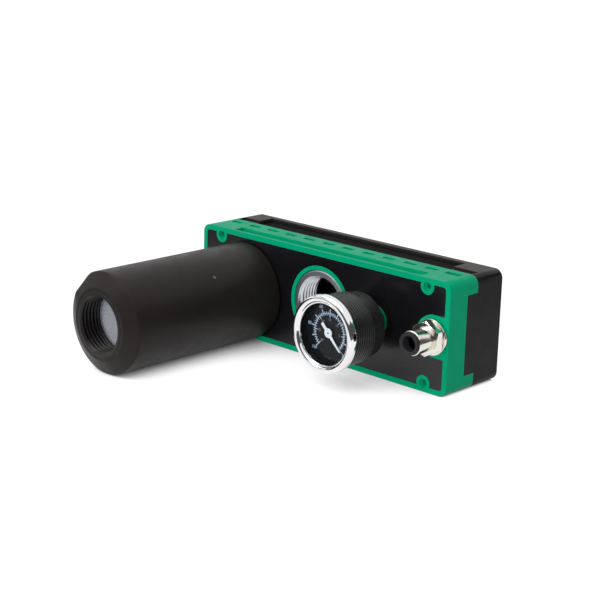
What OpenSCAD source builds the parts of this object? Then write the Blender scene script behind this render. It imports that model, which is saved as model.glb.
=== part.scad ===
// Vacuum pump driven by compressed air: a two-part housing with two multi-stage ejectors,
// an exhaust silencer, an open vacuum port, a vacuum gauge and a push-in air inlet.
// Origin: centre of the base. +X runs along the housing, -Y is the front, +Z is up.

/* [Housing] */
// Length of the housing along X
body_l = 187; // [180:1:230]
// Depth of the housing from its front face to its back
body_d = 44; // [42:1:60]
// Height of the housing
body_h = 62; // [60:1:76]
// Radius of the housing's long edges
body_r = 5; // [2:0.5:7]
// Depth of the front cover along the top and bottom
cover_d = 23; // [21:0.5:26]
// Depth of the front cover at the two ends, between its corner tabs
end_d = 14.5; // [14:0.5:16]
// Height of each corner tab
tab_h = 9; // [8:0.5:12]
// Thickness of the outer skin
wall = 4; // [3.5:0.5:5]
// Thickness of the front wall
front_t = 3.5; // [3:0.5:5]

/* [Front] */
// Width of the raised frame around the label
frame_w = 3; // [2:0.5:4]
// Depth of the recess that holds the label
label_recess = 0.8; // [0.6:0.1:1.2]
// Distance of the corner holes from the ends
corner_x = 15.5; // [14:0.5:18]
// Distance of the corner holes from the top and bottom
corner_z = 4.6; // [4.5:0.1:6]
// Radius of the corner holes
corner_hole_r = 1.75; // [1.5:0.05:2]

/* [Ports] */
// Height of the vacuum port, the gauge and the inlet
port_z = 31.6; // [30:0.1:40]
// Vacuum port, to the right of the housing's middle
port_x = 2.2; // [0:0.1:3]
// Bore radius of the threaded port inserts, at the thread's crests
port_bore_r = 15.15; // [12:0.05:15.5]
// Outer radius of the threaded port inserts
insert_r = 19.8; // [18:0.1:20]
// Outer radius of the moulded rings around the inserts
ring_r = 22; // [21:0.1:23]

/* [Silencer] */
// Distance of the silencer's axis from the left end
silencer_x = 37.3; // [34:0.1:38]
// Outer radius of the silencer, which is also its height above the base
silencer_r = 28.4; // [27:0.1:30]
// Reach of the silencer in front of the housing
silencer_l = 109.3; // [80:1:150]

/* [Gauge] */
// Distance of the gauge from the vacuum port
gauge_dx = 40.7; // [38:0.1:46]
// Reach of the gauge in front of the housing
gauge_reach = 42.1; // [40:0.1:50]
// Outer radius of the gauge's case
gauge_case_r = 19.5; // [19:0.1:22]
// Outer radius of the gauge's bezel
bezel_r = 21.1; // [20.6:0.1:24]
// Radius of the opening in the bezel
bezel_open_r = 16.6; // [15:0.1:17]

/* [Inlet] */
// Distance of the inlet from the right end
inlet_x = 10; // [10:0.5:14]
// Radius of the tube that the inlet takes, with its clearance
tube_r = 4.1; // [3.1:0.05:4.2]
// Travel of the release ring
release_travel = 1.5; // [0.5:0.1:1.5]

/* [Hidden] */
$fn = 72;
// Overlap of pieces of one solid, and how far a cut runs past a face
eps = 0.01;
over = 1;
// Clearance between pieces that are fitted together and stay put
fit = 0.1;
// Radial clearance of a turning pivot
run_fit = 0.05;

// Housing
front_y = -body_d / 2;
half_l = body_l / 2;
spigot_t = 3.5;
back_t = 4;
shell = wall + spigot_t;
gasket_t = 1;
gasket_w = 1.6;
ledge = end_d - gasket_t;
boss_d = ledge - fit;
corner_boss_r = 4.4;
lead_in_r = 2.5;
lead_in_d = 1.6;
label_t = 0.5;

// Marks in the top of the housing
pocket_count = 12;
pocket_end = 11.55;
pocket_size = [8, 3.4];
last_pocket_size = [10, 4.4];
pocket_d = 2.6;
pocket_y = 16.85;
groove_inset = [24.5, 21.5];
groove_y = [2, 9];
groove_d = 2;
pad_l = [17.5, 21.5];
pad_y = 29.5;
top_recess_d = 1.2;
channel_d = 2.4;
rim_w = 4;

// Cover screws
screw_pitch = 39;
screw_r = 1.5;
screw_head_r = 2.8;
screw_head_t = 2.4;
screw_pocket_r = 3;
screw_pocket_d = 3.2;
screw_boss_r = 3.6;
screw_hole_end = 6;
screw_tip = 7;
screw_socket_r = 1.45;
screw_socket_d = 1.2;

// Ports, in X
silencer_at = -half_l + silencer_x;
gauge_at = port_x + gauge_dx;
inlet_at = half_l - inlet_x;
insert_l = boss_d;
insert_step = 4;
insert_root_r = insert_r - 1.2;
mouth_chamfer = 1.3;

// Partitions and ejectors
partition_t = 3;
air_partition_x = 58;
exhaust_partition_x = -31;
ejector_y = 7;
ejector_dz = 11.5;
ejector_r = 7;
ejector_bore_r = 4.5;
ejector_head_r = 8.5;
ejector_head_t = 3;
ejector_tail = 7;
window_x = [-12, 14, 40];
window_size = [6, 3];
ejector_window_gap = 3;
nozzle_lip = 2;
throat_at = 0.7;
drive_nozzle_r = [3, 0.7, 1.1];
stage_inlet_r = 3.8;
stage_throat_r = [1.4, 1.9, 2.4];
stage_flare = 0.7;
flap_t = 0.65;
flap_l = 9;
seal_r = 0.45;
seal_groove_w = 1.2;

// Silencer
nipple_r = port_bore_r - run_fit;
nipple_l = 12;
nipple_bore_r = 12.5;
silencer_seal_t = 1;
silencer_wall = 2.8;
outlet_l = 13;
silencer_chamfer = [8.4, 4.6];
end_cap_t = 10;
liner_bore_r = 16.5;

// Gauge: Y positions are measured from the housing's front face
gauge_boss_r = 8.5;
gauge_thread_r = 4.3;
gauge_thread_l = 9;
gauge_hex_af = 14;
gauge_seal_t = 1;
gauge_seal_r = 7;
gauge_hex_y = -9;
stem_neck_r = 6;
stem_r = 4.9;
stem_bore_r = 1.5;
case_back = -11.5;
case_step = -21.5;
case_corner = 0.6;
case_wall = 2;
case_floor_t = 1.8;
case_floor = case_back - case_floor_t;
bezel_t = 2.4;
bezel_l = 4.9;
lens_t = 1.3;
lens_gasket_t = 2.8;
dial_t = 0.5;
dial_hole_r = 1.5;
case_rim = -gauge_reach + bezel_t;
lens_back = case_rim + lens_t;
dial_front = lens_back + lens_gasket_t;
dial_back = dial_front + dial_t;
seat_r = gauge_case_r - 0.9;
case_rear_r = gauge_case_r - 1.5;
gasket_open_r = bezel_open_r + 0.4;
bezel_round_r = 1.2;
bezel_slope = [2.2, 1.5];
rib_count = 8;
rib_pitch = 1.75;
rib_w = 0.8;
rib_d = 0.5;
rib_margin = 0.35;
rib_first = case_step - (rib_count - 1) * rib_pitch - rib_w - rib_margin;

// Gauge movement
plate_t = 0.8;
plate_gap = 4;
plate_hub_r = 4.8;
plate_ear_r = 1.7;
front_plate_y = dial_back + 1.3;
rear_plate_y = front_plate_y + plate_t + plate_gap;
block_y = rear_plate_y + plate_t;
pivot_r = 0.45;
arbor_r = 0.6;
gear_module = 0.3;
pressure = 20;
backlash = 0.12;
pinion_teeth = 10;
sector_teeth = 60;
pinion_pitch_r = gear_module * pinion_teeth / 2;
sector_pitch_r = gear_module * sector_teeth / 2;
addendum = 0.24;
dedendum = 0.4;
sector_at = 300;
sector_turn = 45;
sector_y = front_plate_y + plate_t + 1.6;
sector_t = 0.8;
tooth_step = 360 / sector_teeth;
extra_teeth = 1;
pinion_y = sector_y - 0.4;
pinion_face = sector_t + 0.8;
gear_centres = pinion_pitch_r + sector_pitch_r;
sector_pos = gear_centres * [cos(sector_at), sin(sector_at)];
sector_hub_r = 1.5;
tail_root_r = 1.1;
tail_end_r = 0.8;
tail_l = 5;
tail_dir = sector_at + 15;
tail_pos = sector_pos + tail_l * [cos(tail_dir), sin(tail_dir)];
link_l = 6;
link_dir = tail_dir - 270;
link_end = tail_pos + link_l * [cos(link_dir), sin(link_dir)];
link_y = sector_y + sector_t + 0.2;
link_t = 0.7;
link_w = 1.1;
tip_lug_y = link_y + link_t + 0.2;
tip_lug_t = 0.7;
pillar_r = 0.8;
pillar_pos = [[4.5, 4], [-5.5, -8.5]];
gauge_screw_pos = [[-2.9, 1.4], [2.9, 1.4]];
gauge_screw_r = 0.5;
gauge_screw_l = 2.2;
gauge_screw_gap = 0.3;
gauge_screw_head_r = 1;
gauge_screw_head_t = 0.6;
spring_y = front_plate_y + plate_t + 0.3;
spring_w = 0.5;
spring_t = 0.12;
spring_r = [1.1, 4.6];
spring_turns = 3.5;
spring_steps = 70;

// Bourdon tube
tube_arc_r = 13;
tube_section = [1.8, 5];
tube_skin = 0.25;
tube_y = -24.8;
tube_root_dir = 240;
tube_tip_dir = -25;
root_w = 3.6;
root_lip = 0.3;
cap_l = 2;
cap_lip = 0.2;

// Pointer: it rests on the zero mark at the lower right
zero_dir = -46;
pointer_t = 0.4;
pointer_y = dial_front - 1.1;
pointer_hub_r = 2.5;
pointer_l = 12.2;
pointer_tail = 6.2;
pointer_w = [1.5, 0.56];

// Inlet: Y positions are measured from the housing's front face
inlet_thread_r = 6.55;
inlet_thread_l = 12;
inlet_boss_r = 9.5;
inlet_mark_r = 11.5;
inlet_seal_t = 1;
inlet_seal_r = 8.6;
inlet_hex_af = 17;
inlet_disc_r = 9.8;
inlet_disc_t = 1.4;
inlet_hex_y = -7.4;
inlet_nose_r = 6.67;
inlet_nose_y = -18.4;
release_front = -20.2;
release_mouth_r = 6.25;
release_mouth_d = 2;
sleeve_bore_r = 5.3;
sleeve_end = -15;
seat_y = -9.6;
seat_end = -5;
passage_r = 3.2;
gripper_y = sleeve_end + release_travel + 0.3;
gripper_t = 1;
tube_seal_y = -10.5;

// ---- Shared shapes ----

// Moves to the front face, at a port's place
module at_front(x = 0, z = 0) {
    translate([x, front_y, z]) children();
}

// Extrudes an outline drawn in X and Z, from y0 back to y1
module plate(y0, y1) {
    translate([0, y1, 0]) rotate([90, 0, 0]) linear_extrude(y1 - y0) children();
}

// Solid rod along Y
module rod(r, y0, y1) {
    translate([0, y0, 0]) rotate([-90, 0, 0]) cylinder(r = r, h = y1 - y0);
}

// Round tube along Y
module tube(r_out, r_in, y0, y1) {
    difference() {
        rod(r_out, y0, y1);
        rod(r_in, y0 - eps, y1 + eps);
    }
}

// Outline of [radius, y] points turned about the Y axis
module turned(outline) {
    rotate([-90, 0, 0]) rotate_extrude() polygon(outline);
}

// Rounded rectangle, centred
module rounded(l, h, r) {
    square([l - 2 * r, h], center = true);
    square([l, h - 2 * r], center = true);
    for (sx = [-1, 1], sz = [-1, 1])
        translate([sx * (l / 2 - r), sz * (h / 2 - r)]) circle(r);
}

// The housing's outline, set in from its faces
module outline(inset) {
    translate([0, body_h / 2])
        rounded(body_l - 2 * inset, body_h - 2 * inset, max(body_r - inset, 0.5));
}

module block(inset, y0, y1) {
    plate(y0, y1) outline(inset);
}

// Repeats a shape at the four corner holes
module at_corners() {
    for (sx = [-1, 1], z = [corner_z, body_h - corner_z])
        translate([sx * (half_l - corner_x), 0, z]) children();
}

// Repeats a shape at the six cover screws
module at_screws() {
    for (i = [-1:1], z = [corner_z, body_h - corner_z])
        translate([i * screw_pitch, 0, z]) children();
}

// Hexagon along Y with its corners turned down at the front
module hexagon(af, y0, y1) {
    corner_r = af / 2 / cos(30);
    chamfer = corner_r - af / 2;
    intersection() {
        plate(y0, y1) circle(corner_r, $fn = 6);
        turned([[0, y0], [af / 2 - chamfer / 2, y0], [corner_r, y0 + chamfer], [corner_r, y1], [0, y1]]);
    }
}

// ---- Housing ----

module label_outline(gap) {
    difference() {
        outline(frame_w + gap);
        for (sx = [-1, 1], z = [corner_z, body_h - corner_z])
            translate([sx * (half_l - corner_x), z]) circle(corner_boss_r + gap);
        translate([silencer_at, silencer_r]) circle(ring_r + gap);
        translate([port_x, port_z]) circle(ring_r + gap);
        translate([gauge_at, port_z]) circle(gauge_boss_r + gap);
        translate([inlet_at, port_z]) {
            circle(inlet_mark_r + gap);
            translate([0, -inlet_mark_r - gap]) square([inlet_x, 2 * (inlet_mark_r + gap)]);
        }
    }
}

module top_pockets() {
    step = (body_l - 2 * pocket_end) / (pocket_count - 1);
    for (i = [0:pocket_count - 1]) {
        size = i == pocket_count - 1 ? last_pocket_size : pocket_size;
        translate([i * step - half_l + pocket_end, pocket_y, body_h])
            cube([size[0], size[1], 2 * pocket_d], center = true);
    }
    groove_l = body_l - groove_inset[0] - groove_inset[1];
    translate([groove_inset[0] - half_l, groove_y[0], body_h - groove_d])
        cube([groove_l, groove_y[1] - groove_y[0], groove_d + over]);
}

module end_windows() {
    for (sx = [-1, 1])
        translate([sx * half_l, (end_d + cover_d + over) / 2, body_h / 2])
            cube([2 * shell, cover_d + over - end_d, body_h - 2 * tab_h], center = true);
}

// Threaded insert's outside, used for the insert and for its seat
module insert_outside(gap) {
    turned([
        [0, 0], [insert_r + gap, 0], [insert_r + gap, insert_step],
        [insert_root_r + gap, insert_step], [insert_root_r + gap, insert_l], [0, insert_l]
    ]);
}

module front_cover() {
    color("seagreen") at_front() difference() {
        union() {
            difference() {
                block(0, 0, cover_d);
                block(shell, front_t, cover_d + over);
                block(wall, ledge, cover_d + over);
            }
            translate([silencer_at, 0, silencer_r]) rod(ring_r, front_t / 2, boss_d);
            translate([port_x, 0, port_z]) rod(ring_r, front_t / 2, boss_d);
            translate([gauge_at, 0, port_z]) rod(gauge_boss_r, front_t / 2, boss_d);
            translate([inlet_at, 0, port_z]) rod(inlet_boss_r, front_t / 2, boss_d);
            at_corners() rod(corner_boss_r, front_t / 2, cover_d);
            at_screws() rod(screw_boss_r, front_t / 2, cover_d);
            boss_bypass(front_t / 2, ledge);
        }
        plate(-over, label_recess) label_outline(0);
        translate([silencer_at, 0, silencer_r]) port_bore();
        translate([port_x, 0, port_z]) port_bore();
        translate([gauge_at, 0, port_z]) rod(gauge_thread_r, -over, boss_d + over);
        translate([inlet_at, 0, port_z]) rod(inlet_thread_r + run_fit, -over, boss_d + over);
        at_corners() rod(corner_hole_r, -over, cover_d + over);
        at_corners() rod(lead_in_r, -over, lead_in_d);
        at_screws() rod(screw_r + run_fit, screw_hole_end, cover_d + over);
        end_windows();
        top_pockets();
    }
}

module port_bore() {
    rod(insert_r, -over, insert_step);
    rod(insert_root_r, 0, boss_d + over);
}

module rear_housing() {
    color("dimgray") at_front() difference() {
        union() {
            difference() {
                union() {
                    housing_walls();
                    boss_bypass(end_d, cover_d);
                }
                at_corners() rod(corner_boss_r + fit, 0, cover_d);
                at_screws() rod(screw_boss_r + fit, 0, cover_d);
            }
            at_corners() rod(corner_boss_r, cover_d, body_d - back_t / 2);
            at_screws() rod(screw_boss_r, cover_d, body_d - back_t / 2);
        }
        at_corners() rod(corner_hole_r, 0, body_d + over);
        at_screws() rod(screw_r + fit, 0, body_d + over);
        at_screws() rod(screw_pocket_r, body_d - screw_pocket_d, body_d + over);
        top_recess();
    }
}

module housing_walls() {
    difference() {
        union() {
            block(0, cover_d, body_d);
            block(wall + fit, end_d, cover_d + over);
            end_cheeks();
        }
        block(shell, 0, body_d - back_t);
    }
}

// Thicker wall that carries the gasket around the bosses, on their inner side
module boss_bypass(y0, y1) {
    intersection() {
        block(wall + fit, y0, y1);
        union() {
            at_corners() rod(corner_boss_r + gasket_w, y0, y1);
            at_screws() rod(screw_boss_r + gasket_w, y0, y1);
        }
    }
}

// End walls of the housing that fill the windows in the cover
module end_cheeks() {
    intersection() {
        block(0, end_d, cover_d + over);
        for (sx = [-1, 1])
            translate([sx * half_l, body_d / 2, body_h / 2])
                cube([2 * shell, body_d, body_h - 2 * tab_h], center = true);
    }
}

// Lowered top between the end pads, and the groove behind the cover
module top_recess() {
    channel_l = body_l - pad_l[0] - pad_l[1];
    translate([pad_l[0] - half_l, cover_d - eps, body_h - channel_d])
        cube([channel_l, body_d - rim_w - cover_d, channel_d + over]);
    translate([body_r - half_l, cover_d - eps, body_h - top_recess_d])
        cube([body_l - 2 * body_r, pad_y - cover_d, top_recess_d + over]);
}

module cover_gasket() {
    color("black") at_front() difference() {
        union() {
            difference() {
                block(wall + fit, ledge, end_d);
                block(shell, ledge - over, end_d + over);
            }
            boss_bypass(ledge, end_d);
        }
        at_corners() rod(corner_boss_r + fit, ledge - over, end_d + over);
        at_screws() rod(screw_boss_r + fit, ledge - over, end_d + over);
    }
}

module front_label() {
    color([0.1, 0.1, 0.11]) at_front()
        plate(label_recess - label_t, label_recess) label_outline(fit);
}

module cover_screws() {
    head_y = body_d - screw_pocket_d;
    color("silver") at_front() at_screws() difference() {
        union() {
            rod(screw_r, screw_tip, head_y + eps);
            rod(screw_head_r, head_y, head_y + screw_head_t);
        }
        plate(head_y + screw_head_t - screw_socket_d, head_y + screw_head_t + over)
            circle(screw_socket_r, $fn = 6);
    }
}

// ---- Port inserts ----

module port_insert(x, z) {
    color("lightsteelblue") at_front(x, z) difference() {
        insert_outside(0);
        turned([
            [0, -over], [port_bore_r + mouth_chamfer + over, -over], [port_bore_r, mouth_chamfer],
            [port_bore_r, insert_l + over], [0, insert_l + over]
        ]);
    }
}

// ---- Partitions and ejectors ----

module partition(x) {
    color("gray") difference() {
        translate([x, front_y + front_t + fit, shell + fit])
            cube([partition_t, body_d - front_t - back_t - 2 * fit, body_h - 2 * (shell + fit)]);
        for (side = [-1, 1])
            translate([x - over, ejector_y, port_z + side * ejector_dz])
                rotate([0, 90, 0]) cylinder(r = ejector_r + fit, h = partition_t + 2 * over);
    }
}

// Moves to an ejector's axis and lays +Z along +X
module at_ejector(side) {
    translate([0, ejector_y, port_z + side * ejector_dz]) rotate([0, 90, 0]) children();
}

module ejector_body(side) {
    head_x = air_partition_x + partition_t;
    tail_x = exhaust_partition_x - ejector_tail;
    color("darkslategray") at_ejector(side) difference() {
        union() {
            translate([0, 0, tail_x]) cylinder(r = ejector_r, h = head_x - tail_x + eps);
            translate([0, 0, head_x]) cylinder(r = ejector_head_r, h = ejector_head_t);
        }
        translate([0, 0, tail_x - over])
            cylinder(r = ejector_bore_r, h = head_x + ejector_head_t - tail_x + 2 * over);
        for (x = window_x, a = [0:90:270])
            rotate(a) translate([ejector_r, 0, x])
                cube([2 * ejector_r - ejector_bore_r, window_size[1], window_size[0]], center = true);
        for (x = [air_partition_x, exhaust_partition_x])
            translate([0, 0, x + (partition_t - seal_groove_w) / 2]) seal_groove();
    }
}

module seal_groove() {
    groove_r = ejector_r + fit - 2 * seal_r;
    difference() {
        cylinder(r = ejector_r + over, h = seal_groove_w);
        translate([0, 0, -over]) cylinder(r = groove_r, h = seal_groove_w + 2 * over);
    }
}

module ejector_seals(side) {
    color("black") at_ejector(side) for (x = [air_partition_x, exhaust_partition_x])
        translate([0, 0, x + partition_t / 2])
            rotate_extrude() translate([ejector_r + fit - seal_r, 0]) circle(seal_r, $fn = 32);
}

// Converging and diverging nozzle along Z, from its inlet at z = length down to its outlet at 0
module nozzle(length, inlet_r, throat_r, outlet_r) {
    throat = length * throat_at;
    nozzle_r = ejector_bore_r - fit;
    rotate_extrude() polygon([
        [outlet_r, 0], [nozzle_r, 0], [nozzle_r, length], [inlet_r, length], [throat_r, throat]
    ]);
}

module drive_nozzle(side) {
    from_x = window_x[2] + window_size[0] / 2 + ejector_window_gap;
    to_x = air_partition_x + partition_t + ejector_head_t + nozzle_lip;
    color("goldenrod") at_ejector(side) translate([0, 0, from_x])
        nozzle(to_x - from_x, drive_nozzle_r[0], drive_nozzle_r[1], drive_nozzle_r[2]);
}

// One nozzle downstream of each row of windows, wider from stage to stage
module stage_nozzles(side) {
    clear_x = window_size[0] / 2 + ejector_window_gap;
    outlet_x = exhaust_partition_x - ejector_tail + over;
    color("ivory") at_ejector(side) for (i = [0:2]) {
        to_x = window_x[2 - i] - clear_x;
        from_x = i == 2 ? outlet_x : window_x[1 - i] + clear_x;
        translate([0, 0, from_x])
            nozzle(to_x - from_x, stage_inlet_r, stage_throat_r[i], stage_throat_r[i] + stage_flare);
    }
}

module flap_valves(side) {
    color("black") at_ejector(side) for (x = window_x)
        translate([0, 0, x - flap_l / 2]) difference() {
            cylinder(r = ejector_r + run_fit + flap_t, h = flap_l);
            translate([0, 0, -over]) cylinder(r = ejector_r + run_fit, h = flap_l + 2 * over);
        }
}

// ---- Silencer ----

module silencer_shell() {
    bore_r = silencer_r - silencer_wall;
    end_r = silencer_r - silencer_chamfer[0];
    front = -silencer_l;
    color([0.13, 0.12, 0.12]) at_front(silencer_at, silencer_r) turned([
        [port_bore_r + mouth_chamfer, front], [end_r, front], [silencer_r, front + silencer_chamfer[1]],
        [silencer_r, -silencer_seal_t], [bore_r, -silencer_seal_t], [bore_r, front + outlet_l],
        [port_bore_r, front + outlet_l], [port_bore_r, front + mouth_chamfer]
    ]);
}

module silencer_end_cap() {
    cap_r = silencer_r - silencer_wall - fit;
    color([0.13, 0.12, 0.12]) at_front(silencer_at, silencer_r) turned([
        [nipple_bore_r, -silencer_seal_t - end_cap_t], [cap_r, -silencer_seal_t - end_cap_t],
        [cap_r, -silencer_seal_t], [nipple_r, -silencer_seal_t], [nipple_r, nipple_l],
        [nipple_bore_r, nipple_l]
    ]);
}

module silencer_liner() {
    liner_r = silencer_r - silencer_wall - fit;
    color("lightgray") at_front(silencer_at, silencer_r)
        tube(liner_r, liner_bore_r, -silencer_l + outlet_l + fit, -silencer_seal_t - end_cap_t - fit);
}

module silencer_seal() {
    color("black") at_front(silencer_at, silencer_r)
        tube(insert_r, nipple_r + fit, -silencer_seal_t, 0);
}

// ---- Push-in inlet ----

module inlet_body() {
    disc_y = -inlet_seal_t - inlet_disc_t;
    color("silver") at_front(inlet_at, port_z) difference() {
        union() {
            rod(inlet_thread_r, -inlet_seal_t - eps, inlet_thread_l);
            rod(inlet_disc_r, disc_y, -inlet_seal_t);
            hexagon(inlet_hex_af, inlet_hex_y, disc_y + eps);
            rod(inlet_nose_r, inlet_nose_y, inlet_hex_y + over);
        }
        turned([
            [0, inlet_nose_y - over], [release_mouth_r, inlet_nose_y - over],
            [release_mouth_r, inlet_nose_y + release_mouth_d],
            [sleeve_bore_r, inlet_nose_y + release_mouth_d], [sleeve_bore_r, seat_y],
            [tube_r + run_fit, seat_y], [tube_r + run_fit, seat_end], [passage_r, seat_end],
            [passage_r, inlet_thread_l + over], [0, inlet_thread_l + over]
        ]);
    }
}

module inlet_seal() {
    color("black") at_front(inlet_at, port_z) tube(inlet_seal_r, inlet_thread_r + run_fit, -inlet_seal_t, 0);
}

module inlet_tube_seal() {
    section_r = (sleeve_bore_r - tube_r) / 2;
    color("black") at_front(inlet_at, port_z) translate([0, tube_seal_y, 0]) rotate([90, 0, 0])
        rotate_extrude() translate([tube_r + section_r, 0]) circle(section_r, $fn = 32);
}

module inlet_gripper() {
    color("silver") at_front(inlet_at, port_z)
        tube(sleeve_bore_r - run_fit, tube_r, gripper_y, gripper_y + gripper_t);
}

module inlet_release_ring() {
    color([0.16, 0.16, 0.17]) at_front(inlet_at, port_z) turned([
        [tube_r, release_front], [release_mouth_r - fit, release_front],
        [release_mouth_r - fit, inlet_nose_y], [sleeve_bore_r - fit, inlet_nose_y],
        [sleeve_bore_r - fit, sleeve_end], [tube_r, sleeve_end]
    ]);
}

// ---- Gauge body ----

module gauge_stem() {
    color("goldenrod") at_front(gauge_at, port_z) difference() {
        union() {
            rod(gauge_thread_r - run_fit, -gauge_seal_t - eps, gauge_thread_l);
            hexagon(gauge_hex_af, gauge_hex_y, -gauge_seal_t);
            rod(stem_neck_r, case_back, gauge_hex_y + over);
            rod(stem_r, block_y, case_back + eps);
            tube_root();
        }
        rod(stem_bore_r, tube_y, gauge_thread_l + over);
        for (p = gauge_screw_pos)
            translate([p[0], 0, p[1]]) rod(gauge_screw_r + run_fit, block_y - over, block_y + gauge_screw_l);
    }
}

// Arm that carries the fixed end of the Bourdon tube
module tube_root() {
    plate(tube_y - tube_section[1] / 2, tube_y + tube_section[1] / 2) rotate(tube_root_dir)
        square([tube_arc_r + tube_section[0] / 2 + root_lip, root_w]);
}

module gauge_seal() {
    color("black") at_front(gauge_at, port_z) tube(gauge_seal_r, gauge_thread_r + fit, -gauge_seal_t, 0);
}

module gauge_case() {
    bore_r = gauge_case_r - case_wall;
    rear_bore_r = case_rear_r - case_wall;
    stem_hole_r = stem_r + run_fit;
    color([0.12, 0.12, 0.13]) at_front(gauge_at, port_z) difference() {
        turned([
            [seat_r, case_rim], [gauge_case_r, case_rim], [gauge_case_r, case_step],
            [case_rear_r, case_step], [case_rear_r, case_back - case_corner],
            [case_rear_r - case_corner, case_back], [stem_hole_r, case_back],
            [stem_hole_r, case_floor], [rear_bore_r, case_floor],
            [rear_bore_r, case_step - case_wall], [bore_r, case_step - case_wall],
            [bore_r, dial_back], [seat_r, dial_back]
        ]);
        for (i = [0:rib_count - 1])
            tube(gauge_case_r + over, gauge_case_r - rib_d, rib_first + i * rib_pitch,
                rib_first + i * rib_pitch + rib_w);
    }
}

module gauge_bezel() {
    front = -gauge_reach;
    band_r = gauge_case_r + fit;
    color("silver") at_front(gauge_at, port_z) turned([
        [bezel_open_r, front + bezel_slope[1]], [bezel_open_r + bezel_slope[0], front],
        for (a = [0:15:90])
            [bezel_r - bezel_round_r * (1 - sin(a)), front + bezel_round_r * (1 - cos(a))],
        [bezel_r, front + bezel_l], [band_r, front + bezel_l], [band_r, case_rim],
        [bezel_open_r, case_rim]
    ]);
}

module gauge_lens() {
    color([0.8, 0.9, 0.95, 0.3]) at_front(gauge_at, port_z) rod(seat_r - fit, case_rim, lens_back);
}

module gauge_lens_gasket() {
    color("black") at_front(gauge_at, port_z) tube(seat_r - fit, gasket_open_r, lens_back, dial_front);
}

module gauge_dial() {
    color([0.1, 0.1, 0.12]) at_front(gauge_at, port_z) tube(seat_r - fit, dial_hole_r, dial_front, dial_back);
}

// ---- Gauge movement ----

// Outline shared by the two movement plates
module plate_outline() {
    difference() {
        hull() {
            circle(plate_hub_r, $fn = 32);
            for (p = [sector_pos, each pillar_pos]) translate(p) circle(plate_ear_r, $fn = 32);
        }
        circle(pivot_r + run_fit);
        translate(sector_pos) circle(pivot_r + run_fit);
    }
}

module gauge_rear_plate() {
    color("gold") at_front(gauge_at, port_z) difference() {
        plate(rear_plate_y, block_y) plate_outline();
        for (p = gauge_screw_pos)
            translate([p[0], 0, p[1]]) rod(gauge_screw_r + run_fit, rear_plate_y - over, block_y + over);
    }
}

module gauge_front_plate() {
    color("gold") at_front(gauge_at, port_z)
        plate(front_plate_y, front_plate_y + plate_t) plate_outline();
}

module gauge_pillars() {
    color("gold") at_front(gauge_at, port_z) for (p = pillar_pos)
        translate([p[0], 0, p[1]]) rod(pillar_r, front_plate_y + plate_t, rear_plate_y);
}

module gauge_screws() {
    color("silver") at_front(gauge_at, port_z) for (p = gauge_screw_pos)
        translate([p[0], 0, p[1]]) {
            rod(gauge_screw_r, rear_plate_y - eps, block_y + gauge_screw_l - gauge_screw_gap);
            rod(gauge_screw_head_r, rear_plate_y - gauge_screw_head_t, rear_plate_y);
        }
}

module tube_outline(skin) {
    w = tube_section[0] - 2 * skin;
    h = tube_section[1] - 2 * skin;
    square([w, h - w], center = true);
    for (s = [-1, 1]) translate([0, s * (h - w) / 2]) circle(w / 2);
}

module gauge_bourdon_tube() {
    color("peru") at_front(gauge_at, port_z) translate([0, tube_y, 0]) rotate([90, 0, 0])
        rotate([0, 0, tube_tip_dir]) rotate_extrude(angle = tube_root_dir - tube_tip_dir)
            translate([tube_arc_r, 0]) difference() {
                tube_outline(0);
                tube_outline(tube_skin);
            }
}

// Cap on the free end of the Bourdon tube, with the lug that the link reaches
module gauge_bourdon_tip() {
    cap_w = tube_section[0] + 2 * cap_lip;
    front = tube_y - tube_section[1] / 2;
    color("goldenrod") at_front(gauge_at, port_z) {
        plate(front, tube_y + tube_section[1] / 2) rotate(tube_tip_dir)
            translate([tube_arc_r - cap_w / 2, -cap_l]) square([cap_w, cap_l]);
        plate(tip_lug_y, front + eps) rotate(tube_tip_dir)
            translate([tube_arc_r - cap_w / 2, -cap_l]) square([cap_w, cap_l]);
        plate(tip_lug_y, tip_lug_y + tip_lug_t) hull() {
            rotate(tube_tip_dir) translate([tube_arc_r, -cap_l / 2]) circle(cap_l / 2, $fn = 32);
            translate(link_end) circle(link_w, $fn = 32);
        }
    }
}

// Half the angle that a tooth fills at radius r
function involute(a) = tan(a) * 180 / PI - a;
function half_tooth(r, pitch_r, teeth) =
    90 / teeth - backlash / 2 / pitch_r * 180 / PI + involute(pressure)
    - involute(acos(min(1, pitch_r * cos(pressure) / r)));
function polar(r, a) = r * [cos(a), sin(a)];

// Outline of one tooth at angle a, up one flank and down the other
function tooth(a, pitch_r, teeth) =
    let (steps = 5, root = pitch_r - dedendum, rise = addendum + dedendum)
    concat(
        [for (i = [0:steps]) let (r = root + rise * i / steps) polar(r, a - half_tooth(r, pitch_r, teeth))],
        [for (i = [steps:-1:0]) let (r = root + rise * i / steps) polar(r, a + half_tooth(r, pitch_r, teeth))]
    );

module sector_outline() {
    first = sector_at - 180 - extra_teeth * tooth_step;
    last = first + sector_turn + 2 * extra_teeth * tooth_step;
    polygon([
        [0, 0],
        for (a = [first:tooth_step:last + eps]) each tooth(a, sector_pitch_r, sector_teeth)
    ]);
    circle(sector_hub_r);
}

module gauge_sector() {
    color("gold") at_front(gauge_at, port_z) {
        plate(sector_y, sector_y + sector_t) {
            translate(sector_pos) sector_outline();
            hull() {
                translate(sector_pos) circle(tail_root_r, $fn = 32);
                translate(tail_pos) circle(tail_end_r, $fn = 32);
            }
        }
        translate([sector_pos[0], 0, sector_pos[1]]) {
            rod(arbor_r, front_plate_y + plate_t + run_fit, rear_plate_y - run_fit);
            rod(pivot_r, front_plate_y, rear_plate_y + plate_t);
        }
        translate([tail_pos[0], 0, tail_pos[1]]) rod(pivot_r, sector_y, link_y + link_t);
    }
}

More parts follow.
